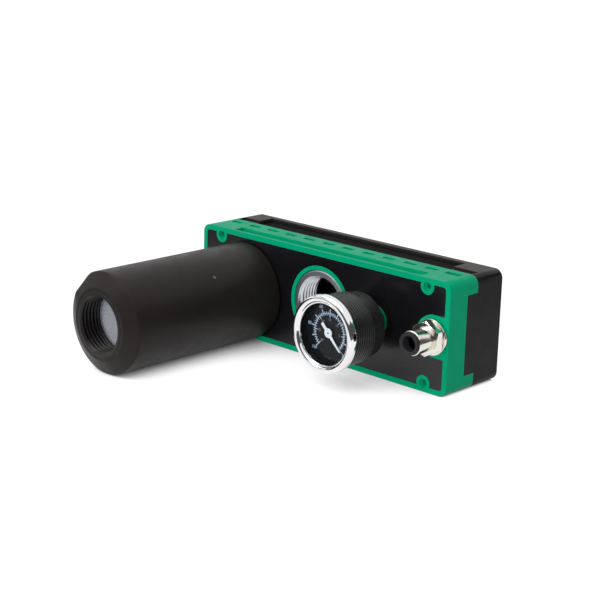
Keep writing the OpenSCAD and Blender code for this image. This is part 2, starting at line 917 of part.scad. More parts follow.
module gauge_link() {
    color("gold") at_front(gauge_at, port_z) plate(link_y, link_y + link_t) difference() {
        hull() {
            translate(tail_pos) circle(link_w, $fn = 32);
            translate(link_end) circle(link_w, $fn = 32);
        }
        translate(tail_pos) circle(pivot_r + run_fit);
        translate(link_end) circle(pivot_r + run_fit);
    }
}

module gauge_pinion() {
    gap_dir = sector_at + 180 / pinion_teeth;
    color("gold") at_front(gauge_at, port_z) {
        plate(pinion_y, pinion_y + pinion_face) polygon([
            for (i = [0:pinion_teeth - 1])
                each tooth(gap_dir + i * 360 / pinion_teeth, pinion_pitch_r, pinion_teeth)
        ]);
        rod(arbor_r, front_plate_y + plate_t + run_fit, rear_plate_y - run_fit);
        rod(pivot_r, pointer_y, rear_plate_y + plate_t - run_fit);
    }
}

module gauge_hairspring() {
    half = spring_t / 2;
    function spiral(i, side) =
        let (t = i / spring_steps)
        polar(spring_r[0] + (spring_r[1] - spring_r[0]) * t + side, 360 * spring_turns * t);
    color("lightsteelblue") at_front(gauge_at, port_z) plate(spring_y, spring_y + spring_w) {
        polygon(concat(
            [for (i = [0:spring_steps]) spiral(i, half)],
            [for (i = [spring_steps:-1:0]) spiral(i, -half)]
        ));
        difference() {
            circle(spring_r[0] + half);
            circle(arbor_r + run_fit);
        }
    }
}

module gauge_pointer() {
    color("white") at_front(gauge_at, port_z) plate(pointer_y, pointer_y + pointer_t) difference() {
        rotate(zero_dir) union() {
            circle(pointer_hub_r);
            polygon([
                [0, -pointer_w[0] / 2], [pointer_l, -pointer_w[1] / 2],
                [pointer_l, pointer_w[1] / 2], [0, pointer_w[0] / 2]
            ]);
            translate([-pointer_tail, -pointer_w[0] / 2]) square([pointer_tail, pointer_w[0]]);
        }
        circle(pivot_r);
    }
}

front_cover();
rear_housing();
cover_gasket();
front_label();
cover_screws();
port_insert(silencer_at, silencer_r);  // exhaust_insert
port_insert(port_x, port_z);  // vacuum_insert
partition(air_partition_x);  // air_partition
partition(exhaust_partition_x);  // exhaust_partition
ejector_body(1);  // upper_ejector_body
ejector_body(-1);  // lower_ejector_body
drive_nozzle(1);  // upper_drive_nozzle
drive_nozzle(-1);  // lower_drive_nozzle
stage_nozzles(1);  // upper_stage_nozzles
stage_nozzles(-1);  // lower_stage_nozzles
flap_valves(1);  // upper_flap_valves
flap_valves(-1);  // lower_flap_valves
ejector_seals(1);  // upper_ejector_seals
ejector_seals(-1);  // lower_ejector_seals
silencer_shell();
silencer_end_cap();
silencer_liner();
silencer_seal();
inlet_body();
inlet_seal();
inlet_tube_seal();
inlet_gripper();
inlet_release_ring();
gauge_stem();
gauge_seal();
gauge_case();
gauge_bezel();
gauge_lens();
gauge_lens_gasket();
gauge_dial();
gauge_rear_plate();
gauge_front_plate();
gauge_pillars();
gauge_screws();
gauge_bourdon_tube();
gauge_bourdon_tip();
gauge_sector();
gauge_link();
gauge_pinion();
gauge_hairspring();
gauge_pointer();
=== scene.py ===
"""Looks of the vacuum pump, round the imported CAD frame.

Materials, detailed pieces, studio and camera."""

import math

import bmesh
import bpy
from mathutils import Matrix, Vector


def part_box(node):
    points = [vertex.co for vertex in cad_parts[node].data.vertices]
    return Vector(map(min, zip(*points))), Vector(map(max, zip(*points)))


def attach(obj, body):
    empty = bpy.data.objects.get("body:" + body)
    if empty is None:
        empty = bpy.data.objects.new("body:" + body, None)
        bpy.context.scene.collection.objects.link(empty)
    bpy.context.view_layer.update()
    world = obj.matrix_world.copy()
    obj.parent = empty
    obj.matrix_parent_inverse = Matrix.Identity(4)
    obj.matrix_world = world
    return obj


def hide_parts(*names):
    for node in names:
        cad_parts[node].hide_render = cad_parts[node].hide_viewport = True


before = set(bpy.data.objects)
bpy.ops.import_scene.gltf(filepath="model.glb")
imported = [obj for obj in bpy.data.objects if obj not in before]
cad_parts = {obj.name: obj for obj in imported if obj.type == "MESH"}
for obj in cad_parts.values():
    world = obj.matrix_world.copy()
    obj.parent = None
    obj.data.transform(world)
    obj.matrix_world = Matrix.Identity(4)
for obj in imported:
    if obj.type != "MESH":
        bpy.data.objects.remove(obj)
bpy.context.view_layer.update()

MM = 0.001
TURN = 2 * math.pi


# ---- Materials ----


class Nodes:
    """A material's node tree, with one Principled shader, in object coordinates."""

    def __init__(self, name):
        self.material = bpy.data.materials.new(name)
        self.material.use_nodes = True
        self.tree = self.material.node_tree
        self.tree.nodes.clear()
        self.output = self.tree.nodes.new("ShaderNodeOutputMaterial")
        self.coords = self.tree.nodes.new("ShaderNodeTexCoord").outputs["Object"]

    def add(self, kind, values=(), **settings):
        node = self.tree.nodes.new(kind)
        for key, value in settings.items():
            setattr(node, key, value)
        for key, value in dict(values).items():
            node.inputs[key].default_value = value
        return node

    def link(self, source, target):
        self.tree.links.new(source, target)

    def feed(self, value, target):
        """Links a socket to an input, or sets a constant on it."""
        if isinstance(value, bpy.types.NodeSocket):
            self.link(value, target)
        else:
            target.default_value = value

    def calculate(self, operation, *values):
        """The result of a sum. Each value is a number or a socket."""
        node = self.add("ShaderNodeMath", operation=operation)
        for value, target in zip(values, node.inputs):
            self.feed(value, target)
        return node.outputs["Value"]

    def inside(self, value, middle, size):
        """1 where value is within a span of that middle and size, else 0."""
        return self.calculate("COMPARE", value, middle, size / 2)

    def noise(self, scale, detail=3.0):
        """A noise pattern, with scale in cells per metre."""
        texture = self.add("ShaderNodeTexNoise", {"Scale": scale, "Detail": detail})
        self.link(self.coords, texture.inputs["Vector"])
        return texture.outputs["Fac"]

    def spread(self, source, low, high, start=0.3, end=0.7):
        """source, from start to end, as a number from low to high."""
        node = self.add(
            "ShaderNodeMapRange",
            {"From Min": start, "From Max": end, "To Min": low, "To Max": high},
        )
        self.link(source, node.inputs["Value"])
        return node.outputs["Result"]

    def mix(self, factor, first, second):
        """A mix of two colours. Each one is a colour or a socket."""
        node = self.add("ShaderNodeMix", data_type="RGBA")
        self.link(factor, node.inputs["Factor"])
        for value, target in ((first, node.inputs[6]), (second, node.inputs[7])):
            self.feed(value if isinstance(value, bpy.types.NodeSocket) else (*value, 1), target)
        return node.outputs[2]

    def edges(self, radius, low=0.02, high=0.25):
        """About 1 along outer edges narrower than radius, and 0 on the faces."""
        bevel = self.add("ShaderNodeBevel", {"Radius": radius}, samples=6)
        geometry = self.add("ShaderNodeNewGeometry")
        dot = self.add("ShaderNodeVectorMath", operation="DOT_PRODUCT")
        self.link(bevel.outputs["Normal"], dot.inputs[0])
        self.link(geometry.outputs["Normal"], dot.inputs[1])
        return self.spread(dot.outputs["Value"], 1.0, 0.0, 1 - high, 1 - low)

    def bumps(self, *layers):
        """A normal from (height, depth in metres, strength) layers, one on the other."""
        normal = None
        for height, depth, strength in layers:
            node = self.add("ShaderNodeBump", {"Distance": depth, "Strength": strength})
            self.link(height, node.inputs["Height"])
            if normal is not None:
                self.link(normal, node.inputs["Normal"])
            normal = node.outputs["Normal"]
        return normal

    def shader(self, colour, roughness, normal=None, **values):
        names = {key.replace("_", " ").title(): value for key, value in values.items()}
        names = {key.replace("Ior", "IOR"): value for key, value in names.items()}
        principled = self.add("ShaderNodeBsdfPrincipled", names)
        self.link(colour, principled.inputs["Base Color"])
        self.link(roughness, principled.inputs["Roughness"])
        if normal is not None:
            self.link(normal, principled.inputs["Normal"])
        self.link(principled.outputs["BSDF"], self.output.inputs["Surface"])
        return self.material


def srgb(red, green, blue):
    """A colour written as it looks on a screen, from 0 to 255, as linear light."""

    def linear(value):
        value /= 255
        return value / 12.92 if value <= 0.04045 else ((value + 0.055) / 1.055) ** 2.4

    return linear(red), linear(green), linear(blue)


def moulded(name, colour, pale, roughness, grain=0.5, specular=0.4, edge_highlight_share=0.35, light_and_shade_bands=()):
    """Moulded plastic: a fine spark-eroded grain, cloudy flow marks and slightly paler edges in
    patches, a painted edge highlight.

    light_and_shade_bands are (low, high, painted tone, dullness): heights in metres with a painted
    tone between them, paler for painted light and darker for painted shade, and a roughness of at
    least dullness."""
    nodes = Nodes(name)
    clouds = nodes.noise(38, 4)
    specks = nodes.noise(2600, 2)
    base = nodes.mix(nodes.spread(clouds, 0, 0.35), colour, pale)
    # Painted edge highlight: paler patches along the edges.
    edge_highlight_patches = nodes.spread(nodes.noise(260, 4), 0, edge_highlight_share)
    base = nodes.mix(nodes.calculate("MULTIPLY", nodes.edges(0.5 * MM), edge_highlight_patches), base, pale)
    rough = nodes.spread(nodes.noise(120, 5), roughness - 0.06, roughness + 0.06)
    if light_and_shade_bands:
        split = nodes.add("ShaderNodeSeparateXYZ")
        nodes.link(nodes.coords, split.inputs[0])
    # Painted light and shade: each band paints its tone over the colour between its heights.
    for low, high, painted_tone, dullness in light_and_shade_bands:
        light_shade_band = nodes.inside(split.outputs["Z"], (low + high) / 2, high - low)
        base = nodes.mix(light_shade_band, base, painted_tone)
        rough = nodes.calculate("MAXIMUM", rough, nodes.calculate("MULTIPLY", light_shade_band, dullness))
    normal = nodes.bumps(
        (nodes.noise(55, 2), 0.15 * MM, 0.06), (specks, 0.03 * MM, grain)
    )
    return nodes.shader(base, rough, normal, specular_ior_level=specular)


def metal(name, colour, dark, roughness, scratch=0.15):
    """Bare or plated metal: faint stains, fine scratches and brighter edges, a painted edge
    highlight.
    """
    nodes = Nodes(name)
    stains = nodes.spread(nodes.noise(140, 5), 0, 0.6)
    base = nodes.mix(stains, colour, dark)
    # Painted edge highlight: the edges go back to the bright clean colour.
    metal_edge_highlight = nodes.edges(0.3 * MM)
    base = nodes.mix(nodes.spread(metal_edge_highlight, 0, 0.6, 0, 1), base, colour)
    lines = nodes.noise(1500, 3)
    rough = nodes.spread(lines, roughness * 0.75, roughness * 1.3)
    normal = nodes.bumps((lines, 0.01 * MM, scratch), (nodes.noise(400, 2), 0.02 * MM, 0.05))
    return nodes.shader(base, rough, normal, metallic=1.0)


def rubber(name, colour, pale):
    nodes = Nodes(name)
    base = nodes.mix(nodes.spread(nodes.noise(300, 5), 0, 0.7), colour, pale)
    rough = nodes.spread(nodes.noise(700, 3), 0.6, 0.8)
    normal = nodes.bumps((nodes.noise(1800, 3), 0.04 * MM, 0.4))
    return nodes.shader(base, rough, normal, specular_ior_level=0.25)


def glossy_film(name, colour, pale):
    """The label's film: a smooth skin with a faint orange peel."""
    nodes = Nodes(name)
    base = nodes.mix(nodes.spread(nodes.noise(90, 4), 0, 0.5), colour, pale)
    rough = nodes.spread(nodes.noise(35, 5), 0.2, 0.3)
    normal = nodes.bumps(
        (nodes.noise(160, 2), 0.02 * MM, 0.12), (nodes.noise(1900, 2), 0.006 * MM, 0.2)
    )
    return nodes.shader(base, rough, normal, specular_ior_level=0.42)


def felt(name, colour, shade):
    """Porous sintered liner: round pores on a soft pale body."""
    nodes = Nodes(name)
    pores = nodes.add("ShaderNodeTexVoronoi", {"Scale": 900.0})
    nodes.link(nodes.coords, pores.inputs["Vector"])
    cells = nodes.spread(pores.outputs["Distance"], 0, 1, 0.1, 0.6)
    base = nodes.mix(cells, colour, shade)
    rough = nodes.spread(nodes.noise(500, 4), 0.75, 0.95)
    normal = nodes.bumps(
        (pores.outputs["Distance"], 0.02 * MM, 0.3), (nodes.noise(250, 4), 0.05 * MM, 0.2)
    )
    return nodes.shader(base, rough, normal, specular_ior_level=0.1)


def paint(name, colour, worn, grain=0.3, specular=0.3, coat=0.0):
    """Printed ink or enamel, under a share of clear coat."""
    nodes = Nodes(name)
    base = nodes.mix(nodes.spread(nodes.noise(900, 4), 0, 0.5), colour, worn)
    rough = nodes.spread(nodes.noise(600, 3), 0.4, 0.55)
    normal = nodes.bumps((nodes.noise(2200, 2), 0.01 * MM, grain))
    return nodes.shader(
        base,
        rough,
        normal,
        specular_ior_level=specular,
        coat_weight=coat,
        coat_roughness=0.08,
        coat_ior=1.36,
    )


def clear_lens(name):
    """Clear lens with faint smears. Its sheen is the clear coat of the dial behind it."""
    nodes = Nodes(name)
    clear = nodes.add("ShaderNodeBsdfTransparent")
    nodes.link(
        nodes.mix(nodes.spread(nodes.noise(60, 4), 0, 1), (0.99, 1, 1), (0.95, 0.97, 0.98)),
        clear.inputs["Color"],
    )
    nodes.link(clear.outputs["BSDF"], nodes.output.inputs["Surface"])
    return nodes.material


def make_materials():
    black = srgb(36, 34, 34)
    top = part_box("rear_housing")[1].z
    # Painted shade: the channel floor, 1.5 to 3 mm below the top, is darker and fully rough.
    painted_recess_shade = (top - 3 * MM, top - 1.5 * MM, srgb(28, 27, 27), 1.0)
    # Painted light: the top faces, lit from above, are painted paler.
    painted_top_light = (top - 0.3 * MM, top + 0.3 * MM, srgb(62, 58, 56), 0.0)
    return {
        "green_shell": moulded(
            "green_shell", srgb(0, 166, 120), srgb(0, 174, 128), 0.46, 0.3, 0.07
        ),
        "black_shell": moulded(
            "black_shell", srgb(38, 36, 36), srgb(48, 46, 46), 0.5, 0.5, 0.1, light_and_shade_bands=(painted_recess_shade, painted_top_light)
        ),
        "label": glossy_film("label", srgb(17, 17, 20), srgb(22, 22, 25)),
        "seal_rubber": rubber("seal_rubber", srgb(20, 20, 20), srgb(34, 34, 34)),
        "flap_rubber": rubber("flap_rubber", srgb(60, 44, 30), srgb(80, 60, 42)),
        "screw_steel": metal("screw_steel", srgb(190, 190, 192), srgb(140, 140, 144), 0.3),
        "insert_steel": metal("insert_steel", srgb(206, 209, 212), srgb(186, 190, 195), 0.2, 0.05),
        "partition_plastic": moulded("partition_plastic", black, srgb(60, 58, 58), 0.5),
        "ejector_plastic": moulded("ejector_plastic", srgb(60, 62, 66), srgb(80, 82, 88), 0.45),
        "nozzle_brass": metal("nozzle_brass", srgb(214, 178, 104), srgb(170, 134, 70), 0.25),
        "nozzle_plastic": moulded("nozzle_plastic", srgb(220, 214, 198), srgb(238, 234, 222), 0.4),
        "silencer_plastic": moulded(
            "silencer_plastic", srgb(35, 31, 30), srgb(44, 39, 37), 0.42, 0.3, 0.15
        ),
        "liner": felt("liner", srgb(246, 248, 252), srgb(226, 230, 238)),
        "nickel": metal("nickel", srgb(236, 231, 224), srgb(212, 206, 198), 0.14),
        # Painted shade: the gripper is darker than bare steel, for the shade inside the fitting.
        "gripper_steel": metal("gripper_steel", srgb(70, 68, 66), srgb(50, 48, 46), 0.5),
        "release_plastic": moulded(
            "release_plastic", srgb(46, 44, 47), srgb(58, 56, 60), 0.45, 0.3, 0.15
        ),
        "stem_brass": metal("stem_brass", srgb(132, 112, 76), srgb(104, 86, 56), 0.4),
        "case_plastic": moulded("case_plastic", srgb(34, 33, 34), srgb(52, 50, 50), 0.3, 0.15, 0.5),
        "bezel_chrome": metal("bezel_chrome", srgb(238, 237, 238), srgb(224, 224, 227), 0.06, 0.03),
        "lens_glass": clear_lens("lens_glass"),
        "dial_face": paint("dial_face", srgb(28, 28, 31), srgb(32, 32, 36), 0.02, 0.03, 0.45),
        "movement_brass": metal("movement_brass", srgb(222, 190, 118), srgb(180, 146, 82), 0.2),
        "tube_bronze": metal("tube_bronze", srgb(206, 150, 108), srgb(158, 104, 70), 0.25),
        "spring_bronze": metal("spring_bronze", srgb(210, 160, 100), srgb(164, 116, 66), 0.2),
        "pointer_white": paint("pointer_white", srgb(246, 249, 254), srgb(234, 239, 248)),
        "insert_face": metal("insert_face", srgb(176, 182, 188), srgb(150, 156, 164), 0.5, 0.1),
        "dial_ink": paint("dial_ink", srgb(206, 224, 244), srgb(176, 198, 224)),
        "faint_ink": paint("faint_ink", srgb(160, 146, 160), srgb(130, 118, 132)),
        # Painted shade: a glossier copy of the silencer plastic, painted darker for the thread
        # inside the outlet.
        "shaded_thread_plastic": moulded(
            "shaded_thread_plastic", srgb(30, 27, 27), srgb(38, 34, 34), 0.32, 0.1, 0.25
        ),
        # Painted highlight: a pale plastic on the silencer's small mark, so that it shows as a
        # light dot.
        "painted_glint_plastic": moulded(
            "painted_glint_plastic", srgb(104, 98, 94), srgb(120, 114, 110), 0.4, 0.3, 0.3
        ),
        # Near black: partly the dark inner tube of a push-in fitting, partly painted shade in the
        # hole.
        "dark_bore": rubber("dark_bore", srgb(20, 19, 19), srgb(28, 26, 26)),
    }


# ---- Mesh helpers ----


def centre(node):
    low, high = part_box(node)
    return (low + high) / 2


def set_shading(mesh, angle=32.0):
    """Smooth faces, with edges sharper than angle kept hard."""
    build = bmesh.new()
    build.from_mesh(mesh)
    bmesh.ops.recalc_face_normals(build, faces=build.faces)
    for face in build.faces:
        face.smooth = True
    for edge in build.edges:
        edge.smooth = edge.calc_face_angle(0.0) < math.radians(angle)
    build.to_mesh(mesh)
    build.free()


def turned_sizes(low, high):
    """The axis, an (x, z) in metres, and the radius, front and back in mm of a turned piece."""
    middle = (low + high) / 2
    return (middle.x, middle.z), (high.x - low.x) / 2 / MM, low.y / MM, high.y / MM


def ring_faces(rings, columns, closed=False):
    """Quads between rings of points. They close on the first ring, or get two caps."""
    faces = []
    for i in range(rings if closed else rings - 1):
        below, above = i * columns, (i + 1) % rings * columns
        for j in range(columns):
            k = (j + 1) % columns
            faces.append((below + j, below + k, above + k, above + j))
    if not closed:
        faces.append(tuple(range(columns)))
        faces.append(tuple(range((rings - 1) * columns, rings * columns)))
    return faces


def piece(name, verts, faces, slot, body, stands_for=(), finish=None):
    """A new object made of verts in metres, on a body, painted as its slot or its own finish."""
    mesh = bpy.data.meshes.new(name)
    mesh.from_pydata([tuple(v) for v in verts], [], faces)
    mesh.validate()
    set_shading(mesh)
    thing = bpy.data.objects.new(name, mesh)
    bpy.context.scene.collection.objects.link(thing)
    finish_piece(thing, slot, body, stands_for, finish)
    return thing


def finish_piece(thing, slot, body, stands_for=(), finish=None):
    thing.data.materials.clear()
    thing.data.materials.append(materials[finish or slot])
    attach(thing, body)
    if stands_for:
        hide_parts(*stands_for)


def paint_bore(thing, axis, limit, finish):
    """Paints the faces nearer to the axis than limit, in mm, with a second material."""
    thing.data.materials.append(materials[finish])
    for face in thing.data.polygons:
        if math.dist((face.center.x, face.center.z), axis) < limit * MM:
            face.material_index = 1


def round_chain(corners, steps=4):
    """The points of an open chain of (radius, y, rounding) corners, rounded between its ends."""
    points = []
    for i, (radius, y, rounding) in enumerate(corners):
        here = Vector((radius, y))
        if rounding == 0 or i in (0, len(corners) - 1):
            points.append(here)
            continue
        before = Vector(corners[i - 1][:2]) - here
        after = Vector(corners[i + 1][:2]) - here
        start = here + before.normalized() * rounding
        end = here + after.normalized() * rounding
        for step in range(steps + 1):
            t = step / steps
            points.append((1 - t) ** 2 * start + 2 * t * (1 - t) * here + t * t * end)
    return [(p.x, p.y) for p in points]


def lathe(name, rows, axis, slot, body, stands_for=(), columns=144, finish=None):
    """A closed ring of (radius, y) rows in mm turned about axis, an (x, z) in metres.

    A row's radius may be a function of the angle."""
    verts = []
    for radius, y in rows:
        for j in range(columns):
            angle = TURN * j / columns
            r = radius(angle) if callable(radius) else radius
            verts.append(
                (axis[0] + r * MM * math.cos(angle), y * MM, axis[1] + r * MM * math.sin(angle))
            )
    faces = ring_faces(len(rows), columns, closed=True)
    return piece(name, verts, faces, slot, body, stands_for, finish)


# The internal pipe thread of the two large ports, in mm, with its rows per turn.
THREAD_PITCH = 2.309
THREAD_DEPTH = 1.46
THREAD_STEPS = 14
PORT_CREST_R = 15.15


def thread_rows(crest, start, end, mouth):
    """Rows of an internal pipe thread from y start to end, chamfered at its mouth, at start."""
    rows = []
    steps = round((end - start) / THREAD_PITCH * THREAD_STEPS)
    for i in range(steps + 1):
        y = start + (end - start) * i / steps
        rows.append((thread_radius(crest, y, start, end, mouth), y))
    return rows


def thread_radius(crest, y, start, end, mouth):
    runout = min(1.0, (end - y) / THREAD_PITCH)

    def radius(angle):
        phase = (y / THREAD_PITCH - angle / TURN) % 1
        wave = 1 - abs(2 * phase - 1)
        wave = min(1.0, max(0.0, wave * 1.25 - 0.125))
        return max(crest + THREAD_DEPTH * wave * runout, crest + mouth - (y - start))

    return radius


# ---- Pieces ----


def flat_radius(radius, flat_angle, flat_distance):
    """A circle's radius with one flat cut on it."""

    def at(angle):
        facing = math.cos(angle - math.radians(flat_angle))
        return min(radius, flat_distance / facing) if facing > 0.5 else radius

    return at


def make_silencer():
    low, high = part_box("silencer_shell")
    axis, outer, front, back = turned_sizes(low, high)
    wall, outlet, mouth = 2.8, 13, 0.9
    lip_r, rise = 17.7, 0.25
    nose_r, nose_l = 20, 4.6
    flat_angle, flat_distance, flat_l = 136, 26.5, 9
    outside = round_chain(
        [
            (PORT_CREST_R + mouth, front, 0),
            (lip_r, front, 0.15),
            (lip_r + 0.3, front + rise, 0.15),
            (nose_r, front + rise, 0.5),
            (outer, front + nose_l, 0.9),
            (outer, front + flat_l, 0),
            (outer, back, 0.4),
            (outer - wall, back, 0),
        ],
        6,
    )
    shaped = []
    for radius, y in outside[1:]:
        if y <= front + flat_l:
            shaped.append((flat_radius(radius, flat_angle, flat_distance), y))
            if y == front + flat_l:
                shaped.append((radius, y + 0.01))
        else:
            shaped.append((radius, y))
    inside = [(outer - wall, front + outlet)]
    bore = thread_rows(PORT_CREST_R, front, front + outlet, mouth)
    rows = shaped + inside + bore[::-1]
    body = lathe(
        "silencer_body", rows, axis, "silencer_plastic", "housing", ["silencer_shell"], 180
    )
    # The thread inside the outlet gets the darker copy: painted shade.
    paint_bore(body, axis, lip_r - 0.5, "shaded_thread_plastic")
    make_silencer_nub(axis, outer)


def make_silencer_nub(axis, outer):
    """The small moulding mark on the silencer's upper side, painted pale as a highlight."""
    y, angle, radius, rise, sunk = -67, math.radians(42.6), 1.0, 0.3, 0.25
    out = Vector((math.cos(angle), 0, math.sin(angle)))
    along = Vector((0, 1, 0))
    side = out.cross(along)
    foot = Vector((axis[0], y * MM, axis[1])) + out * (outer - sunk) * MM
    columns, verts = 24, []
    top = sunk + rise
    profile = [(1.0, 0), (1.0, 0.3), (0.85, top), (0.55, top), (0.4, 0.2), (0.05, 0.15)]
    for share, height in profile:
        for j in range(columns):
            a = TURN * j / columns
            spoke = along * math.cos(a) + side * math.sin(a)
            verts.append(foot + (spoke * share * radius + out * height) * MM)
    faces = ring_faces(len(profile), columns)
    piece("silencer_nub", verts, faces, "silencer_plastic", "housing", finish="painted_glint_plastic")


def make_vacuum_insert():
    low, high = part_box("vacuum_insert")
    axis, outer, front, back = turned_sizes(low, high)
    mouth, step, root, chamfer = 1.3, 4, 1.2, 0.8
    outside = round_chain(
        [
            (PORT_CREST_R + mouth, front, 0),
            (outer - chamfer - 0.1, front, 0.2),
            (outer - 0.1, front + chamfer, 0.2),
            (outer, front + step, 0),
            (outer - root, front + step, 0),
            (outer - root, back, 0),
        ]
    )
    rows = outside[1:] + thread_rows(PORT_CREST_R, front, back, mouth)[::-1]
    insert = lathe(
        "vacuum_port_insert",
        rows,
        axis,
        "insert_steel",
        "housing",
        ["vacuum_insert"],
        finish="insert_face",
    )
    paint_bore(insert, axis, PORT_CREST_R + mouth, "insert_steel")


def make_bezel():
    low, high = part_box("gauge_bezel")
    axis, outer, front, back = turned_sizes(low, high)
    sight_r, case_r, rim = 16.6, 19.6, front + 2.4
    rows = round_chain(
        [
            (sight_r, rim, 0),
            (sight_r, front + 1.6, 0.15),
            (17.1, front + 1.4, 0.12),
            (17.25, front + 1.55, 0.12),
            (17.9, front + 0.3, 0.65),
            (19.3, front - 0.02, 0.65),
            (20.7, front + 0.35, 0.7),
            (outer, front + 1.7, 0.6),
            (outer, back - 0.5, 0.35),
            (outer - 0.35, back, 0.2),
            (case_r + 0.05, back, 0.1),
            (case_r, rim, 0),
        ]
    )
    lathe("gauge_bezel_ring", rows, axis, "bezel_chrome", "housing", ["gauge_bezel"], 192)


def hexagon_radius(flats, limit):
    """The radius of a hexagon with that distance across its flats, cut off at radius limit."""

    def radius(angle):
        part = (angle - math.radians(90)) % math.radians(60) - math.radians(30)
        return min(flats / 2 / math.cos(part), limit)

    return radius


def make_inlet():
    low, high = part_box("inlet_body")
    axis, _, nose, back = turned_sizes(low, high)
    face = -22
    disc, disc_r, thread_r = face - 2.4, 9.8, 6.55
    flats, cone_r, chamfer, steps = 17, 8.5, 0.75, 8
    corner = flats / math.sqrt(3)
    hex_front, hex_back = face - 7.4, disc - 0.35
    neck_r, ledge_r = 8.35, 8.1
    nose_r, mouth_r, ring_r = 6.67, 6.25, 5.3
    tube_r, tube_stop, bore_r = 4.15, face - 5, 3.2
    rows = [(thread_r, back), (thread_r, face - 1)]
    rows += round_chain(
        [
            (thread_r, face - 1, 0),
            (disc_r, face - 1, 0.25),
            (disc_r, disc, 0.35),
            (disc_r - 0.9, disc, 0),
        ]
    )[1:]
    rows += [(neck_r, disc), (neck_r, hex_back)]
    shares = [i / steps for i in range(steps + 1)]
    limits = [hexagon_radius(flats, cone_r + (corner - cone_r) * t) for t in shares]
    rows += [(limit, hex_back - chamfer * t) for limit, t in zip(limits, shares)]
    rows += [(limit, hex_front + chamfer * t) for limit, t in zip(limits[::-1], shares[::-1])]
    rows.append((ledge_r, hex_front))
    rows += round_chain(
        [
            (ledge_r, hex_front, 0),
            (nose_r + 0.05, hex_front, 0.1),
            (nose_r - 0.12, hex_front - 0.3, 0.1),
            (nose_r, hex_front - 0.7, 0.1),
            (nose_r, nose + 0.45, 0.3),
            (nose_r - 0.35, nose, 0.08),
            (mouth_r, nose, 0),
        ]
    )[1:]
    rows += [(mouth_r, nose + 2), (ring_r, nose + 2), (ring_r, face - 9.6), (tube_r, face - 9.6)]
    rows += [(tube_r, tube_stop), (bore_r, tube_stop), (bore_r, back)]
    fitting = lathe("inlet_fitting", rows, axis, "nickel", "housing", ["inlet_body"], 180)
    # The bore inside the mouth is near black: partly the dark inner tube, partly painted shade in
    # the hole.
    paint_bore(fitting, axis, mouth_r - 0.05, "dark_bore")


def make_release_ring():
    low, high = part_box("inlet_release_ring")
    axis, outer, front, back = turned_sizes(low, high)
    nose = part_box("inlet_body")[0].y / MM
    bore_r, sleeve_r, lead = 4.1, 5.2, 0.5
    rows = round_chain(
        [
            (bore_r, back, 0),
            (bore_r, front + lead, 0.2),
            (bore_r + lead, front, 0.2),
            (outer, front, 0.45),
            (outer, nose, 0),
            (sleeve_r, nose, 0),
            (sleeve_r, back, 0),
        ]
    )
    lathe("release_collar", rows, axis, "release_plastic", "release_ring", ["inlet_release_ring"])


# Where the dial's scales start, and how far they go, in degrees.
SCALE_ZERO = -46
SCALE_SWEEP = 270


def make_pointer():
    """The pointer's blade, tail and hub."""
    low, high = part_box("gauge_pointer")
    axis = centre("gauge_bezel")
    heading = math.radians(SCALE_ZERO)
    along = Vector((math.cos(heading), 0, math.sin(heading)))
    across = Vector((-math.sin(heading), 0, math.cos(heading)))
    front, back = low.y, high.y
    half = 20
    hub_r, tip, tail, tail_half, soft = 2.6, 12.2, 6.5, 0.9, 0.1
    outline = []
    start = math.asin(tail_half / hub_r)
    for i in range(half + 1):
        a = start + (math.pi - 2 * start) * i / half
        outline.append((hub_r * math.cos(a), hub_r * math.sin(a)))
    outline += [(-tail + soft, tail_half), (-tail, tail_half - soft)]
    outline += [(-tail, soft - tail_half), (-tail + soft, -tail_half)]
    for i in range(half + 1):
        a = math.pi + start + (math.pi - 2 * start) * i / half
        outline.append((hub_r * math.cos(a), hub_r * math.sin(a)))
    outline += [(tip - soft, -0.28), (tip, -0.18), (tip, 0.18), (tip - soft, 0.28)]
    origin = Vector((axis.x, 0, axis.z))
    lift = 0.06 * MM
    rings = [(1.0, back), (1.0, front + lift), (0.97, front)]
    verts = []
    for scale, y in rings:
        for u, v in outline:
            verts.append(origin + (along * u + across * v * scale) * MM + Vector((0, y, 0)))
    faces = ring_faces(len(rings), len(outline))
    piece("pointer_needle", verts, faces, "pointer_white", "pointer", ["gauge_pointer"])


def flat_mark(verts, faces, corners, y, thickness):
    """Adds a thin printed shape, an outline in X and Z, to verts and faces."""
    start, count = len(verts), len(corners)
    for depth in (y, y - thickness):
        verts.extend(Vector((x, depth, z)) for x, z in corners)
    faces.append(tuple(range(start, start + count)))
    faces.append(tuple(range(start + count, start + 2 * count)))
    for i in range(count):
        j = (i + 1) % count
        faces.append((start + i, start + j, start + count + j, start + count + i))


def make_dial_scales():
    """The ticks of both scales, and the arc between them."""
    axis = centre("gauge_bezel")
    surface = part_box("gauge_dial")[0].y
    ink = 0.03 * MM
    verts, faces = [], []

    def mark(inner, outer, first, last):
        corners = []
        for radius, degrees in ((inner, first), (outer, first), (outer, last), (inner, last)):
            a = math.radians(degrees)
            x, z = radius * MM * math.cos(a), radius * MM * math.sin(a)
            corners.append((axis.x + x, axis.z + z))
        flat_mark(verts, faces, corners, surface, ink)

    # Ticks, every how many is long, (inner, outer, half width) of both, and their middle, in mm.
    for ticks, every, short, long, middle in (
        (40, 4, (10.4, 11.3, 0.17), (10.4, 12.7, 0.26), 11),
        (30, 5, (9.3, 10.2, 0.2), (8.5, 10.2, 0.24), 9.5),
    ):
        for i in range(ticks + 1):
            degrees = SCALE_ZERO + SCALE_SWEEP * i / ticks
            inner, outer, width = long if i % every == 0 else short
            half = math.degrees(width / middle)
            mark(inner, outer, degrees - half, degrees + half)
    steps = 120
    for i in range(steps):
        first = SCALE_ZERO + SCALE_SWEEP * i / steps
        last = SCALE_ZERO + SCALE_SWEEP * (i + 1) / steps
        mark(10.1, 10.45, first, last)
    piece("dial_scales", verts, faces, "pointer_white", "housing", finish="dial_ink")


